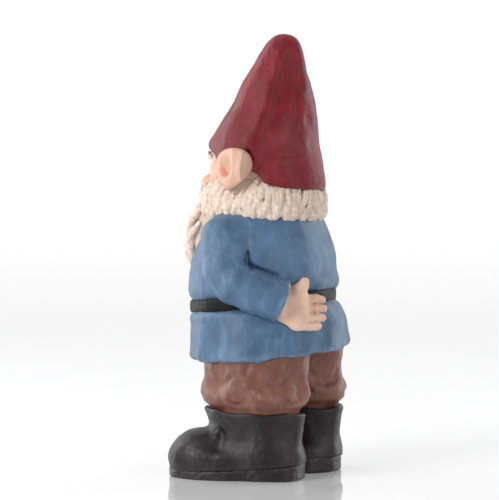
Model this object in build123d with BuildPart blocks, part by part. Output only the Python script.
from build123d import *
import os
from math import sin, cos, radians

# A standing garden gnome, 360 mm tall, built as hollow castings.
# Frame: +Z up, the gnome faces -Y, its left side is +X.
# Origin: on the ground, at the centre of the footprint of the whole figure.

os.makedirs("parts", exist_ok=True)

# ---------------------------------------------------------------- driving dimensions (mm)
HEIGHT = 360.0            # ground to hat tip
SEAT = 0.2                # gap between a spigot and its socket
SOLE_T = 9.0              # sole thickness
VENT_R = 4.0              # vent hole through each sole
VENT_RISE = 8.0           # how far the vent runs on into the boot
LEG_X = 31.0              # leg centre, left and right of the middle
TOE_OUT = 17.0            # degrees each foot turns outward
SHAFT_OUT = 6.0           # degrees each boot shaft turns outward
BOOT_TOP = 58.0           # boot rim above the ground
SOCKET = 12.0             # depth of the leg spigot in the boot
BELT_H = 10.6             # belt height
BELT_T = 2.6              # belt thickness
BELT_TILT = 5.4           # degrees the belt plane rises to the back
HEM_TILT = 5.4            # degrees the jacket hem rises to the back
X_SHIFT, Y_SHIFT = 0.809, 7.144   # bring the centre of the overall footprint to the origin
MIN_VOLUME = 20.0         # smaller solids are slivers left by the cuts

LEFT, RIGHT = SIDES = (1, -1)     # sign of X on each side
# boot centre from its leg, (x, y): the right boot stands a little wider and further back
STANCE = {LEFT: (0.0, 0.0), RIGHT: (-2.0, 4.0)}

CUT_X = 70.0                          # cuts made in side view run from -CUT_X to CUT_X
SIDE_VIEW = Plane.YZ.offset(-CUT_X)   # sketch axes are Y and Z


# ---------------------------------------------------------------- sections and lofts
def plane_at(x, y, z, tilt=0.0, turn=0.0):
    """Level plane; tilt raises its back edge, or turn swings it about Z (never both)."""
    return Plane(
        origin=(x, y, z),
        x_dir=(cos(radians(turn)), sin(radians(turn)), 0),
        z_dir=(0, -sin(radians(tilt)), cos(radians(tilt))),
    )


def oval(x, y, z, rx, ry, tilt=0.0, turn=0.0):
    """One elliptical section of a casting."""
    with BuildSketch(plane_at(x, y, z, tilt, turn)) as section:
        Ellipse(rx, ry)
    return section.sketch


def ear_oval(x, y, z, ry, rz):
    """One elliptical section square to X."""
    with BuildSketch(Plane(origin=(x, y, z), x_dir=(0, 1, 0), z_dir=(1, 0, 0))) as section:
        Ellipse(ry, rz)
    return section.sketch


def palm_oval(origin, along, half_height, half_thickness):
    """One flattened section of a hand, square to the direction along the palm."""
    with BuildSketch(Plane(origin=origin, x_dir=(0, 0, 1), z_dir=along)) as section:
        Ellipse(half_height, half_thickness)
    return section.sketch


def rounds(stations, side=LEFT):
    """Circular sections square to a limb, from (x, y, z, radius) rows; side gives the sign of X."""
    centres = [Vector(side * x, y, z) for x, y, z, _ in stations]
    sections = []
    for i, station in enumerate(stations):
        before = centres[max(i - 1, 0)]
        after = centres[min(i + 1, len(centres) - 1)]
        with BuildSketch(Plane(origin=centres[i], z_dir=after - before)) as section:
            Circle(station[3])
        sections.append(section.sketch)
    return sections


def stack(x, rows, y=0.0, turn=0.0):
    """Oval rows above the point (x, y), from (y offset, z, rx, ry) rows."""
    return [(x, y + dy, z, rx, ry, 0, turn) for dy, z, rx, ry in rows]


def loft_ovals(*tables, mode=Mode.ADD):
    """Loft each table of oval rows into the current part."""
    for table in tables:
        loft([oval(*row) for row in table], mode=mode)


def envelope(*tables):
    """The same lofts as a solid of their own, for cutting the pieces around them."""
    with BuildPart() as solid:
        loft_ovals(*tables)
    return solid


def subtract(*pieces):
    """Cut pieces, in order, from the current part."""
    for piece in pieces:
        add(piece.part, mode=Mode.SUBTRACT)


# Rows of an oval table are (x, y, z, rx, ry), with an optional tilt in degrees.

# ---------------------------------------------------------------- head and eyes
HEAD = [
    (0, -5, 205, 30, 30), (0, -6, 216, 35, 35), (0, -6, 228, 39.5, 39.5),
    (0, -6, 242, 41.5, 41.5), (0, -5.5, 256, 41.5, 41.5), (0, -5, 270, 39, 39),
    (0, -3, 284, 33, 33), (0, 0, 294, 24, 24), (0, 1, 299, 14, 14),
]
HEAD_IN = [
    (0, -5, 203, 24, 24), (0, -6, 216, 28, 28), (0, -6, 228, 32, 32), (0, -6, 242, 34, 34),
    (0, -5.5, 256, 34, 34), (0, -5, 270, 31.5, 31.5), (0, -3, 282, 25, 25), (0, -1, 289, 15, 15),
]
EYE_R = 5.2
EYES = [(side * 12.5, -43.0, 250.5) for side in SIDES]

with BuildPart() as head:
    loft_ovals(HEAD)
    loft_ovals(HEAD_IN, mode=Mode.SUBTRACT)
    # sockets for the two eyeballs
    with Locations(*EYES):
        Sphere(EYE_R, mode=Mode.SUBTRACT)

head_full = envelope(HEAD)

with BuildPart() as eyes:
    with Locations(*EYES):
        Sphere(EYE_R)

# ---------------------------------------------------------------- hat: a blunt leaning cone
HAT = [
    (0, -6.5, 230, 46.5, 48), (0, -5.5, 246, 46.5, 47.5), (0, -6, 258, 45.5, 46),
    (0, -7, 268, 44, 44.5), (0, -4, 285, 40, 40.5), (0, 0, 300, 34.5, 35),
    (0, 2.6, 320, 27.2, 27.6), (0, 6, 335, 20.6, 20.8), (0, 8.6, 348, 15.6, 15.6),
    (0, 9.6, 356, 11.2, 11.2), (0, 10, HEIGHT, 6, 6),
]
HAT_IN = [(0, 1, 296, 25, 25), (0, 3, 312, 21, 21), (0, 5, 328, 15, 15), (0, 7, 340, 8, 8)]
# rim in side view, (y, z): high over the brow and low at the back
RIM = [
    (-70, 270), (-54, 268), (-44, 264.5), (-27, 256.5), (-8, 251.5),
    (8, 244.5), (15, 238.8), (23, 235.4), (36, 233.4), (60, 234),
]
RIM_CUT_Z = 200.0         # bottom of the cut below the rim

with BuildPart() as hat:
    loft_ovals(HAT)
    # everything below the rim is cut away
    with BuildSketch(SIDE_VIEW):
        with BuildLine():
            rim = Spline(*RIM)
            Line(rim @ 1, (RIM[-1][0], RIM_CUT_Z))
            Line((RIM[-1][0], RIM_CUT_Z), (RIM[0][0], RIM_CUT_Z))
            Line((RIM[0][0], RIM_CUT_Z), rim @ 0)
        make_face()
    extrude(amount=2 * CUT_X, mode=Mode.SUBTRACT)
    subtract(head_full)
    loft_ovals(HAT_IN, mode=Mode.SUBTRACT)

# ---------------------------------------------------------------- ears
# left ear, (x, y, z, ry, rz)
EAR = [
    (34, -8.5, 251.5, 14, 15), (46, -9, 251.5, 15.5, 16),
    (53, -7.5, 251.8, 12.5, 14.2), (58.5, -5, 252.5, 7, 9.5),
]
EAR_HOLLOW = (60, -19, 251)
EAR_HOLLOW_R = 12.5

with BuildPart() as left_ear:
    loft([ear_oval(*row) for row in EAR])
    with Locations(EAR_HOLLOW):
        Sphere(EAR_HOLLOW_R, mode=Mode.SUBTRACT)
    subtract(head_full, hat)

with BuildPart() as right_ear:
    add(mirror(left_ear.part, about=Plane.YZ))

# ---------------------------------------------------------------- trousers: legs joined at the hips
SPIGOT_RX, SPIGOT_RY = 21, 31
SPIGOT_END = BOOT_TOP - SOCKET
SPIGOT_ROOT = BOOT_TOP + 2
# stacks over a leg centre, (y, z, rx, ry)
LEG = [
    (0, BOOT_TOP - 0.5, 27.5, 39.5), (-0.8, 68, 30, 44), (-1, 84, 30, 43.5),
    (-0.8, 104, 30.5, 44), (-1, 124, 31, 45),
]
LEG_SPIGOT = [(0.5, SPIGOT_END, SPIGOT_RX, SPIGOT_RY), (0, SPIGOT_ROOT, SPIGOT_RX, SPIGOT_RY)]
LEG_IN = [(0.5, SPIGOT_END - 1, 15.5, 25.5), (0, 66, 17, 29), (-0.5, 84, 22.5, 35), (-1, 125, 23, 38)]
HIPS = [(0, -1, 92, 20, 30), (0, -1, 106, 54, 46), (0, -1, 124, 60, 48)]


def both_legs(rows):
    return [stack(side * LEG_X, rows) for side in SIDES]


with BuildPart() as trousers:
    loft_ovals(*both_legs(LEG), HIPS)
    # spigots that plug the legs into the boots
    loft_ovals(*both_legs(LEG_SPIGOT))
    loft_ovals(*both_legs(LEG_IN), mode=Mode.SUBTRACT)

legs_full = envelope(*both_legs(LEG), HIPS)

# ---------------------------------------------------------------- boots and soles
# foot outlines, (z, outward growth, toe reach forward, heel reach back)
FOOT = [(SOLE_T, -0.8, 71, 40), (16, 0.2, 71, 40), (25, -1.5, 69, 39.5)]
SOLE = [(0, -0.4, 71.6, 40.6), (2, 0.6, 71.6, 40.6), (SOLE_T, 0.4, 71.6, 40.6)]
# stacks of ovals, (y offset, z, rx, ry)
TOE_CAP = [(0, 22, 25.5, 27), (0, 30, 23.5, 24.8), (0.5, 36.5, 17, 17.8), (1, 40, 8, 8)]
INSTEP = [(0, 22, 24, 28), (1, 36, 22, 25), (6, 50, 17, 16)]
SHAFT = [
    (1.6, 22, 26, 37.8), (1.4, 36, 25.6, 37.6), (0.6, 48, 27, 39.2), (0, BOOT_TOP, 29, 41.6),
]
BOOT_IN = [(0, SOLE_T + 6, 18.5, 28), (0.5, SPIGOT_END - 0.5, 19, 29)]
BOOT_SOCKET = [
    (0.5, SPIGOT_END - SEAT, SPIGOT_RX + SEAT, SPIGOT_RY + SEAT),
    (0, SPIGOT_ROOT, SPIGOT_RX + SEAT, SPIGOT_RY + SEAT),
]
TOE_CAP_AHEAD = 42.5      # toe cap centre forward of the boot centre, along the foot
INSTEP_AHEAD = 18.0       # instep centre, likewise


def boot_centre(side):
    dx, dy = STANCE[side]
    return side * LEG_X + dx, dy


def foot_outline(side, z, grow, toe, heel):
    """Closed foot outline, turned out, in a level sketch."""
    corner = grow * 0.7
    tip = grow * 0.8
    # (outward, back), from the toe along the outer edge to the heel, then along the inner edge
    points = [
        (0, -toe - grow), (14, -toe + 4.5 - tip), (24.5 + grow, -toe + 21),
        (27.6 + grow, -28), (26.2 + grow, -5), (26.4 + grow, 20),
        (20 + corner, heel - 7 + corner), (0, heel + grow), (-19.5 - corner, heel - 7 + corner),
        (-24 - grow, 20), (-24.4 - grow, -5), (-26 - grow, -28),
        (-23.5 - grow, -toe + 21), (-14, -toe + 4.5 - tip),
    ]
    with BuildSketch(plane_at(*boot_centre(side), z, turn=side * TOE_OUT)) as outline:
        with BuildLine():
            Spline(*[(side * x, y) for x, y in points], periodic=True)
        make_face()
    return outline.sketch


def make_boot(side):
    foot_turn = side * TOE_OUT
    shaft_turn = side * SHAFT_OUT
    leg_x = side * LEG_X
    boot_x, boot_y = boot_centre(side)

    def along_foot(ahead, rows):
        """A stack a distance ahead of the boot centre, turned with the foot."""
        x = boot_x + ahead * sin(radians(foot_turn))
        y = boot_y - ahead * cos(radians(foot_turn))
        return stack(x, rows, y, foot_turn)

    with BuildPart() as boot:
        # vamp, then toe cap, instep ramp and shaft
        loft([foot_outline(side, *row) for row in FOOT])
        loft_ovals(
            along_foot(TOE_CAP_AHEAD, TOE_CAP),
            along_foot(INSTEP_AHEAD, INSTEP),
            stack(boot_x, SHAFT, boot_y, shaft_turn),
        )
        # hollow foot and the socket for the leg
        loft_ovals(
            stack(leg_x, BOOT_IN, turn=shaft_turn), stack(leg_x, BOOT_SOCKET), mode=Mode.SUBTRACT
        )
        # the trouser cuff bears on the boot rim
        subtract(trousers)
        # vent, carried up from the sole
        with BuildSketch(plane_at(leg_x, 0, SOLE_T)):
            Circle(VENT_R)
        extrude(amount=VENT_RISE, mode=Mode.SUBTRACT)
    return boot


def make_sole(side):
    with BuildPart() as sole:
        loft([foot_outline(side, *row) for row in SOLE])
        with BuildSketch(plane_at(side * LEG_X, 0, 0)):
            Circle(VENT_R)
        extrude(amount=SOLE_T, mode=Mode.SUBTRACT)
    return sole


# ---------------------------------------------------------------- jacket: split at the belt
BELT_CENTRE = (0, -9.6, 142)
WAIST = (62.0, 56.0)      # radii under the belt
WAIST_ROW = (*BELT_CENTRE, *WAIST, BELT_TILT)
SKIRT = [
    (0, -3, 97.5, 70.5, 63, HEM_TILT), (0, -3.5, 113, 68.5, 62.4, HEM_TILT),
    (0, -5.4, 127, 66.8, 61.2, HEM_TILT), (0, -8.6, 135.8, 65, 59.4, BELT_TILT),
]
SKIRT_BAND = [(0, -9, 134.8, 62.8, 57, BELT_TILT), WAIST_ROW]
SKIRT_IN = [
    (0, -3, 105.5, 63, 55.5, HEM_TILT), (0, -5, 127, 60, 53.5, HEM_TILT),
    (0, -9.2, 136, 56.4, 50.4, BELT_TILT), (0, -9.6, 143.6, 56, 50, BELT_TILT),
]
BODY = [
    (0, -9.8, 148.2, 64.6, 58, BELT_TILT), (0, -9.6, 157, 65.6, 58.6, 3.5),
    (0, -9.2, 169, 65, 58, 1.5), (0, -7.8, 184, 62, 54.4), (0, -6.4, 197, 57.2, 49.2),
    (0, -5, 208, 50.5, 44), (0, -4.5, 215, 43.5, 40),
]
BODY_BAND = [WAIST_ROW, (0, -9.8, 149.2, 62.8, 56.4, BELT_TILT)]
BODY_IN = [
    (0, -9.6, 140.5, 56, 50, BELT_TILT), (0, -9.4, 157, 59, 52, 3.5),
    (0, -9, 169, 58.4, 51.2, 1.5), (0, -7.6, 184, 55.2, 47.6), (0, -6.2, 197, 48.4, 41),
    (0, -5, 206, 36, 32),
]
NECK = [(0, -5, 203, 24, 24), (0, -5, 226, 24, 24)]

with BuildPart() as jacket_skirt:
    loft_ovals(SKIRT, SKIRT_BAND)
    loft_ovals(SKIRT_IN, mode=Mode.SUBTRACT)
    subtract(legs_full)

with BuildPart() as jacket_body:
    loft_ovals(BODY, BODY_BAND)
    loft_ovals(BODY_IN, mode=Mode.SUBTRACT)
    subtract(head_full)
    # neck opening, so the hollow head and body are one space
    loft_ovals(NECK, mode=Mode.SUBTRACT)

body_full = envelope(BODY, BODY_BAND)
skirt_full = envelope(SKIRT, SKIRT_BAND)

# ---------------------------------------------------------------- belt and buckle
BUCKLE_FRONT = (0, -71.4, BELT_CENTRE[2] - 5.5)   # centre of the front face
BUCKLE_DEPTH = 6.5

with BuildPart() as belt:
    with BuildSketch(plane_at(*BELT_CENTRE, BELT_TILT)):
        Ellipse(WAIST[0] + BELT_T, WAIST[1] + BELT_T)
    extrude(amount=BELT_H / 2, both=True)
    subtract(body_full, skirt_full)

with BuildPart() as belt_buckle:
    with BuildSketch(Plane(origin=BUCKLE_FRONT, x_dir=(1, 0, 0), z_dir=(0, -1, 0))):
        RectangleRounded(24, 20, 3)
        RectangleRounded(15, 11.5, 1.5, mode=Mode.SUBTRACT)
        # bar reaching into the window from the gnome's left
        with Locations((3.6, 0)):
            Rectangle(11, 2.4)
    extrude(amount=-BUCKLE_DEPTH)
    subtract(belt, body_full, skirt_full)

# ---------------------------------------------------------------- sleeves
# (x, y, z, radius) from shoulder to cuff
LEFT_ARM = [
    (40, -9, 200, 14.5), (50, -12.5, 195, 17), (59, -15, 182, 18), (65.5, -10.5, 169, 17.8),
    (66, -1, 159.5, 17.6), (61, 14, 153, 17.4), (54, 26, 148, 17.2), (47, 36.5, 143, 17),
]
RIGHT_ARM = [
    (-40, -9, 200, 14.5), (-50, -12.5, 195, 17), (-59.5, -15.5, 182, 18),
    (-66.5, -17, 167, 17.8), (-67.5, -26, 155, 17.6), (-61, -41, 149.5, 17),
    (-50, -52.8, 147.5, 16.4), (-40, -60.2, 147.5, 15.6),
]
WRIST_R = 9
BORE_R = WRIST_R + SEAT
LEFT_WRIST = [(54, 26, 148, WRIST_R), (46.5, 37.2, 142.7, WRIST_R)]
RIGHT_WRIST = [(-50, -52.8, 147.5, WRIST_R), (-40, -60.2, 147.5, WRIST_R)]
LEFT_BORE = [(55, 24.5, 148.7, BORE_R), (46, 38, 142.4, BORE_R)]
RIGHT_BORE = [(-51.5, -51.7, 147.5, BORE_R), (-39, -60.9, 147.5, BORE_R)]


def make_sleeve(arm, bore):
    with BuildPart() as sleeve:
        loft(rounds(arm))
        # socket for the wrist
        loft(rounds(bore), mode=Mode.SUBTRACT)
        subtract(body_full, skirt_full, belt, head_full)
    return sleeve


left_sleeve = make_sleeve(LEFT_ARM, LEFT_BORE)
right_sleeve = make_sleeve(RIGHT_ARM, RIGHT_BORE)

# ---------------------------------------------------------------- hands, with wrist stubs in the cuffs
# palm sections: origin, direction along the palm, half height, half thickness
LEFT_PALM = [
    ((46, 35.5, 142.6), (-0.813, 0.583, -0.1), 15.5, 6.5),
    ((38, 41.2, 139.2), (-0.813, 0.583, -0.1), 16.5, 7),
    ((30.5, 46.2, 137), (-0.813, 0.583, 0), 15, 5.8),
]
RIGHT_PALM = [
    ((-40, -60.2, 147.5), (0.8, -0.6, 0), 14, 6.2),
    ((-31, -65.4, 147.5), (0.92, -0.35, 0), 15, 6.6),
    ((-21, -68.4, 147.5), (0.98, -0.15, 0), 14, 5.4),
]
# fingers, top to bottom
LEFT_FINGERS = [(148.2, 0.8), (140.7, 0), (133.1, 0.8), (125.8, 5.2)]     # (root z, shortening in x)
RIGHT_FINGERS = [(10.4, 2.0), (3.5, 0.0), (-3.5, 1.6), (-10.2, 5.4)]      # (rise, shortening in x)
RIGHT_PALM_Z = 147.5


def finger(start, end, radius):
    """A round-ended finger."""
    reach = Vector(*end) - Vector(*start)
    with BuildPart() as solid:
        with BuildSketch(Plane(origin=start, z_dir=reach)):
            Circle(radius)
        extrude(amount=reach.length)
        with Locations(start, end):
            Sphere(radius)
    return solid.part


with BuildPart() as left_hand:
    loft(rounds(LEFT_WRIST))
    loft([palm_oval(*row) for row in LEFT_PALM])
    for z, short in LEFT_FINGERS:
        add(finger((31, 46.6, z), (22 + short, 52.4 - short * 0.7, z - 1.4), 3.9))
    # thumb
    add(finger((42, 40.6, 151), (34.6, 46.6, 160.6), 4.4))
    subtract(body_full, skirt_full, belt, left_sleeve)

with BuildPart() as right_hand:
    loft(rounds(RIGHT_WRIST))
    loft([palm_oval(*row) for row in RIGHT_PALM])
    for rise, short in RIGHT_FINGERS:
        tip_z = RIGHT_PALM_Z - 1.4 + rise * 0.96
        add(finger((-23, -68, RIGHT_PALM_Z + rise), (-6 - short, -70, tip_z), 4.0))
    # thumb
    add(finger((-36, -63.8, 156.5), (-25, -67.6, 166.5), 4.5))
    subtract(body_full, skirt_full, belt, belt_buckle, right_sleeve)

# ---------------------------------------------------------------- nose, moustache, eyebrows
NOSE = [
    (0, -44, 253, 3.6, 5), (0, -49, 248.5, 6.4, 9), (0, -52, 242.5, 8.8, 12),
    (0, -51, 237, 7.6, 10), (0, -48, 234.2, 4, 6),
]
# left halves, (x, y, z, radius) from the middle outward
MOUSTACHE = [
    (1.2, -50, 233.5, 5.0), (9, -52.5, 232.5, 6.8), (19, -50, 228, 6.6),
    (28, -43.5, 220, 4.6), (32, -38.5, 213.5, 2.2),
]
EYEBROW = [
    (5, -47.5, 259.5, 2.4), (12, -46.8, 261.5, 4.0), (19, -43.0, 260.5, 3.6),
    (24, -38.6, 257.5, 1.8),
]

with BuildPart() as nose:
    loft_ovals(NOSE)
    subtract(head_full)

with BuildPart() as moustache:
    for side in SIDES:
        loft(rounds(MOUSTACHE, side))
    subtract(head_full, nose, body_full)

with BuildPart() as eyebrows:
    for side in SIDES:
        loft(rounds(EYEBROW, side))
    subtract(head_full, hat, eyes)

# ---------------------------------------------------------------- hair at the back, beard at the front
SPLIT_Y = -18.0           # the hair meets the beard here, below the ears
# block that cuts away the other side of the split
SPLIT_PLANE = Plane.XY.offset(195)
SPLIT_WIDTH, SPLIT_DEPTH, SPLIT_HEIGHT = 130, 80, 70
HAIR = [
    (0, -7, 207.5, 44, 44), (0, -7.4, 213, 50.5, 50), (0, -7.4, 222, 51.5, 51),
    (0, -7.2, 231, 49.5, 49.5), (0, -6.5, 238, 45, 45.5), (0, -6.5, 242, 42, 42),
]
BEARD = [
    (0, -7, 207.5, 44, 44.5), (0, -7, 213, 50.5, 51), (0, -7, 222, 51, 52),
    (0, -7, 231, 46, 48), (0, -7, 238, 42.5, 43),
]
BIB = [
    (0, -47.5, 168, 7, 17.5), (0, -49.5, 174, 19, 23), (0, -48, 186, 28, 24.5),
    (0, -44, 200, 33, 24), (0, -40, 214, 36, 22), (0, -36, 226, 30, 16),
]
# bare skin in front of and below the ear, closed outline (y, z)
BARE_SKIN = [(-19, 246), (-19, 232), (-6, 233.5), (8, 236), (14, 244), (-19, 246)]

with BuildPart() as hair:
    loft_ovals(HAIR)
    with BuildSketch(SPLIT_PLANE):
        with Locations((0, SPLIT_Y - SPLIT_DEPTH / 2)):
            Rectangle(SPLIT_WIDTH, SPLIT_DEPTH)
    extrude(amount=SPLIT_HEIGHT, mode=Mode.SUBTRACT)
    subtract(head_full, body_full, hat, left_ear, right_ear, left_sleeve, right_sleeve)
    with BuildSketch(SIDE_VIEW):
        with BuildLine():
            Polyline(*BARE_SKIN)
        make_face()
    extrude(amount=2 * CUT_X, mode=Mode.SUBTRACT)

with BuildPart() as beard:
    loft_ovals(BEARD)
    with BuildSketch(SPLIT_PLANE):
        with Locations((0, SPLIT_Y + SPLIT_DEPTH / 2)):
            Rectangle(SPLIT_WIDTH, SPLIT_DEPTH)
    extrude(amount=SPLIT_HEIGHT, mode=Mode.SUBTRACT)
    # bib that hangs down the chest
    loft_ovals(BIB)
    subtract(head_full, body_full, nose, moustache, left_sleeve, right_sleeve)
    subtract(left_ear, right_ear, right_hand)

# ---------------------------------------------------------------- write the pieces
PIECES = {
    "hat": hat, "head": head, "eyes": eyes, "left_ear": left_ear, "right_ear": right_ear,
    "nose": nose, "moustache": moustache, "eyebrows": eyebrows, "beard": beard, "hair": hair,
    "jacket_body": jacket_body, "jacket_skirt": jacket_skirt,
    "left_sleeve": left_sleeve, "right_sleeve": right_sleeve,
    "left_hand": left_hand, "right_hand": right_hand,
    "belt": belt, "belt_buckle": belt_buckle, "trousers": trousers,
    "left_boot": make_boot(LEFT), "right_boot": make_boot(RIGHT),
    "left_sole": make_sole(LEFT), "right_sole": make_sole(RIGHT),
}
for name, piece in PIECES.items():
    with BuildPart() as placed:
        with Locations((X_SHIFT, Y_SHIFT, 0)):
            add([solid for solid in piece.part.solids() if solid.volume > MIN_VOLUME])
    placed.part.label = name
    export_step(placed.part, f"parts/{name}.step")
